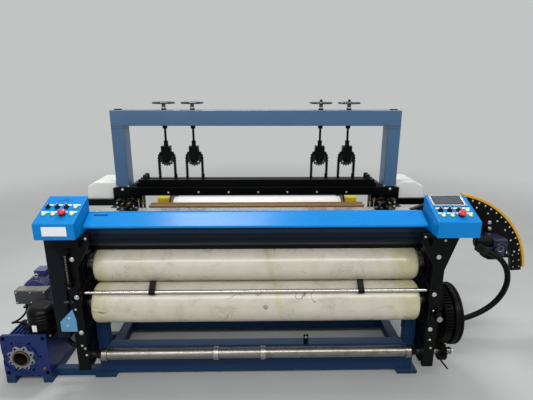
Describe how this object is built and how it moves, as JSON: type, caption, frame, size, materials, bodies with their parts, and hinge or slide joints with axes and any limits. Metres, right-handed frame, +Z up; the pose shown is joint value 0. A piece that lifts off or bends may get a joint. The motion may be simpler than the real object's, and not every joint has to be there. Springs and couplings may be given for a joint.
{
  "type": "wire mesh weaving machine",
  "caption": "Wire mesh weaving machine: ribbed cast sides, geared take-up rollers, chain-hung heald frames under a portal, swinging sley, curved tape guide, control desks, rear warp beam.",
  "frame": {"origin": "on the floor, in the middle of the four anchor bolts", "axes": "+X to the operator's right along the rollers, +Y from the operator to the warp beam, +Z up"},
  "size_m": [3.3341, 2.13, 1.584],
  "materials": {
    "steel_blue": "satin enamel",
    "bright_blue": "gloss enamel",
    "navy": "gloss enamel",
    "black_paint": "black enamel on castings",
    "black_steel": "satin black",
    "roller_wrap": "woven wrap under film",
    "bright_steel": "turned",
    "gear_steel": "oiled",
    "chrome": "polished",
    "brass": "turned",
    "cast_aluminium": "as cast",
    "brown_board": "lacquered",
    "white_cover": "moulded",
    "yellow": "gloss enamel",
    "deep_blue": "gloss enamel",
    "black_plastic": "moulded",
    "black_rubber": "smooth",
    "red_plastic": "moulded",
    "warp_white": "wound wire behind a white core"
  },
  "bodies": {
    "frame": {"base_frame": "steel_blue", "left_side_casting": "black_paint", "right_side_casting": "black_paint", "portal_frame": "steel_blue", "breast_beam": "steel_blue", "breast_cover": "bright_blue", "fell_rail": "bright_steel", "weft_clamps": "brass", "front_cross_bar": "black_steel", "left_control_box": "bright_blue", "right_control_box": "bright_blue", "touch_screen": "cast_aluminium", "left_pedestal": "navy", "bent_tube": "black_steel", "guide_rod": "chrome", "rod_fingers": "black_steel", "side_covers": "white_cover", "pressure_spring": "gear_steel", "gearbox_housing": "navy", "gearbox_ring": "cast_aluminium", "servo_motor": "black_steel", "servo_cable": "black_rubber", "main_motor": "deep_blue", "tape_guide_plate": "black_steel", "tape_guide_edge": "yellow", "rapier_motor": "deep_blue", "rapier_hose": "black_rubber", "warp_stands": "yellow", "lift_chains": "gear_steel"},
    "lower_roller": {"lower_roller": "roller_wrap"},
    "upper_roller": {"upper_roller": "roller_wrap"},
    "take_up_wheel": {"take_up_wheel": "gear_steel"},
    "winding_shaft": {"winding_shaft": "bright_steel"},
    "warp_beam": {"warp_beam": "warp_white"},
    "gearbox_shaft": {"gearbox_shaft": "brass"},
    "star_knob": {"star_knob": "black_plastic"},
    "sley": {"sley_rocker": "steel_blue", "race_board": "brown_board"},
    "heald_front": {"heald_frame_front": "black_steel"},
    "heald_rear": {"heald_frame_rear": "black_steel"},
    "handwheel_1": {"handwheel_1": "black_steel"},
    "hanger_1": {"hanger_block_1": "black_steel"},
    "sprocket_1": {"lift_sprocket_1": "gear_steel"},
    "handwheel_2": {"handwheel_2": "black_steel"},
    "hanger_2": {"hanger_block_2": "black_steel"},
    "sprocket_2": {"lift_sprocket_2": "gear_steel"},
    "handwheel_3": {"handwheel_3": "black_steel"},
    "hanger_3": {"hanger_block_3": "black_steel"},
    "sprocket_3": {"lift_sprocket_3": "gear_steel"},
    "handwheel_4": {"handwheel_4": "black_steel"},
    "hanger_4": {"hanger_block_4": "black_steel"},
    "sprocket_4": {"lift_sprocket_4": "gear_steel"},
    "left_selector_1": {"left_selector_1": "black_plastic"},
    "left_selector_2": {"left_selector_2": "black_plastic"},
    "left_selector_3": {"left_selector_3": "black_plastic"},
    "left_stop_button": {"left_stop_button": "red_plastic"},
    "right_selector_1": {"right_selector_1": "black_plastic"},
    "right_selector_2": {"right_selector_2": "black_plastic"},
    "right_selector_3": {"right_selector_3": "black_plastic"},
    "right_stop_button": {"right_stop_button": "red_plastic"}
  },
  "joints": [
    {"name": "lower_roller_spin", "type": "hinge", "parent": "frame", "child": "lower_roller", "pos_m": [0, -0.676, 0.509], "axis": [1, 0, 0], "continuous": true},
    {"name": "upper_roller_spin", "type": "hinge", "parent": "frame", "child": "upper_roller", "pos_m": [0, -0.619, 0.70904], "axis": [1, 0, 0], "continuous": true},
    {"name": "take_up_wheel_spin", "type": "hinge", "parent": "frame", "child": "take_up_wheel", "pos_m": [1, -0.62, 0.38947], "axis": [1, 0, 0], "continuous": true},
    {"name": "winding_shaft_spin", "type": "hinge", "parent": "frame", "child": "winding_shaft", "pos_m": [0, -0.72, 0.20282], "axis": [1, 0, 0], "continuous": true},
    {"name": "warp_beam_spin", "type": "hinge", "parent": "frame", "child": "warp_beam", "pos_m": [0, 1.05, 0.5], "axis": [1, 0, 0], "continuous": true},
    {"name": "gearbox_shaft_spin", "type": "hinge", "parent": "frame", "child": "gearbox_shaft", "pos_m": [-1.345, -0.7, 0.172], "axis": [0, 1, 0], "continuous": true},
    {"name": "star_knob_turn", "type": "hinge", "parent": "frame", "child": "star_knob", "pos_m": [-0.97, -0.805, 0.664], "axis": [0, 1, 0], "range_deg": [-360, 360]},
    {"name": "sley_swing", "type": "hinge", "parent": "frame", "child": "sley", "pos_m": [0, -0.15, 0.25], "axis": [1, 0, 0], "range_deg": [-7, 8]},
    {"name": "heald_front_slide", "type": "slide", "parent": "frame", "child": "heald_front", "axis": [0, 0, 1], "range_m": [-0.035, 0.035], "deforming": ["lift_chains"]},
    {"name": "heald_rear_slide", "type": "slide", "parent": "frame", "child": "heald_rear", "axis": [0, 0, 1], "range_m": [-0.035, 0.035]},
    {"name": "handwheel_1_turn", "type": "hinge", "parent": "frame", "child": "handwheel_1", "pos_m": [-0.64, 0.153, 1.5], "axis": [0, 0, 1], "range_deg": [-725, 725]},
    {"name": "hanger_1_slide", "type": "slide", "parent": "frame", "child": "hanger_1", "axis": [0, 0, 1], "range_m": [-0.01, 0.01]},
    {"name": "sprocket_1_turn", "type": "hinge", "parent": "hanger_1", "child": "sprocket_1", "pos_m": [-0.64, 0.153, 1.177], "axis": [0, 1, 0], "range_deg": [-40, 40]},
    {"name": "handwheel_2_turn", "type": "hinge", "parent": "frame", "child": "handwheel_2", "pos_m": [-0.445, 0.153, 1.5], "axis": [0, 0, 1], "range_deg": [-725, 725]},
    {"name": "hanger_2_slide", "type": "slide", "parent": "frame", "child": "hanger_2", "axis": [0, 0, 1], "range_m": [-0.01, 0.01]},
    {"name": "sprocket_2_turn", "type": "hinge", "parent": "hanger_2", "child": "sprocket_2", "pos_m": [-0.445, 0.153, 1.177], "axis": [0, 1, 0], "range_deg": [-40, 40]},
    {"name": "handwheel_3_turn", "type": "hinge", "parent": "frame", "child": "handwheel_3", "pos_m": [0.445, 0.153, 1.5], "axis": [0, 0, 1], "range_deg": [-725, 725]},
    {"name": "hanger_3_slide", "type": "slide", "parent": "frame", "child": "hanger_3", "axis": [0, 0, 1], "range_m": [-0.01, 0.01]},
    {"name": "sprocket_3_turn", "type": "hinge", "parent": "hanger_3", "child": "sprocket_3", "pos_m": [0.445, 0.153, 1.177], "axis": [0, 1, 0], "range_deg": [-40, 40]},
    {"name": "handwheel_4_turn", "type": "hinge", "parent": "frame", "child": "handwheel_4", "pos_m": [0.64, 0.153, 1.5], "axis": [0, 0, 1], "range_deg": [-725, 725]},
    {"name": "hanger_4_slide", "type": "slide", "parent": "frame", "child": "hanger_4", "axis": [0, 0, 1], "range_m": [-0.01, 0.01]},
    {"name": "sprocket_4_turn", "type": "hinge", "parent": "hanger_4", "child": "sprocket_4", "pos_m": [0.64, 0.153, 1.177], "axis": [0, 1, 0], "range_deg": [-40, 40]},
    {"name": "left_selector_1_turn", "type": "hinge", "parent": "frame", "child": "left_selector_1", "pos_m": [-1.059, -0.7299, 1.07276], "axis": [0, -0.3827, 0.9239], "range_deg": [-45, 45]},
    {"name": "left_selector_2_turn", "type": "hinge", "parent": "frame", "child": "left_selector_2", "pos_m": [-1.013, -0.7299, 1.07276], "axis": [0, -0.3827, 0.9239], "range_deg": [-45, 45]},
    {"name": "left_selector_3_turn", "type": "hinge", "parent": "frame", "child": "left_selector_3", "pos_m": [-0.967, -0.7299, 1.07276], "axis": [0, -0.3827, 0.9239], "range_deg": [-45, 45]},
    {"name": "left_stop_button_push", "type": "slide", "parent": "frame", "child": "left_stop_button", "axis": [0, -0.3827, 0.9239], "range_m": [-0.004, 0]},
    {"name": "right_selector_1_turn", "type": "hinge", "parent": "frame", "child": "right_selector_1", "pos_m": [0.9385, -0.76501, 1.05821], "axis": [0, -0.3827, 0.9239], "range_deg": [-45, 45]},
    {"name": "right_selector_2_turn", "type": "hinge", "parent": "frame", "child": "right_selector_2", "pos_m": [0.9845, -0.76501, 1.05821], "axis": [0, -0.3827, 0.9239], "range_deg": [-45, 45]},
    {"name": "right_selector_3_turn", "type": "hinge", "parent": "frame", "child": "right_selector_3", "pos_m": [1.0305, -0.76501, 1.05821], "axis": [0, -0.3827, 0.9239], "range_deg": [-45, 45]},
    {"name": "right_stop_button_push", "type": "slide", "parent": "frame", "child": "right_stop_button", "axis": [0, -0.3827, 0.9239], "range_m": [-0.004, 0]}
  ],
  "couplings": [
    {"joint": "upper_roller_spin", "follows": "lower_roller_spin", "ratio": -1.2174},
    {"joint": "take_up_wheel_spin", "follows": "lower_roller_spin", "ratio": -1},
    {"joint": "winding_shaft_spin", "follows": "lower_roller_spin", "ratio": 3.5294},
    {"joint": "heald_rear_slide", "follows": "heald_front_slide", "ratio": -1},
    {"joint": "handwheel_1_turn", "follows": "hanger_1_slide", "rad_per_m": 1256.6},
    {"joint": "sprocket_1_turn", "follows": "heald_front_slide", "rad_per_m": 18.325},
    {"joint": "handwheel_2_turn", "follows": "hanger_2_slide", "rad_per_m": 1256.6},
    {"joint": "sprocket_2_turn", "follows": "heald_front_slide", "rad_per_m": 18.325},
    {"joint": "handwheel_3_turn", "follows": "hanger_3_slide", "rad_per_m": 1256.6},
    {"joint": "sprocket_3_turn", "follows": "heald_front_slide", "rad_per_m": 18.325},
    {"joint": "handwheel_4_turn", "follows": "hanger_4_slide", "rad_per_m": 1256.6},
    {"joint": "sprocket_4_turn", "follows": "heald_front_slide", "rad_per_m": 18.325}
  ]
}
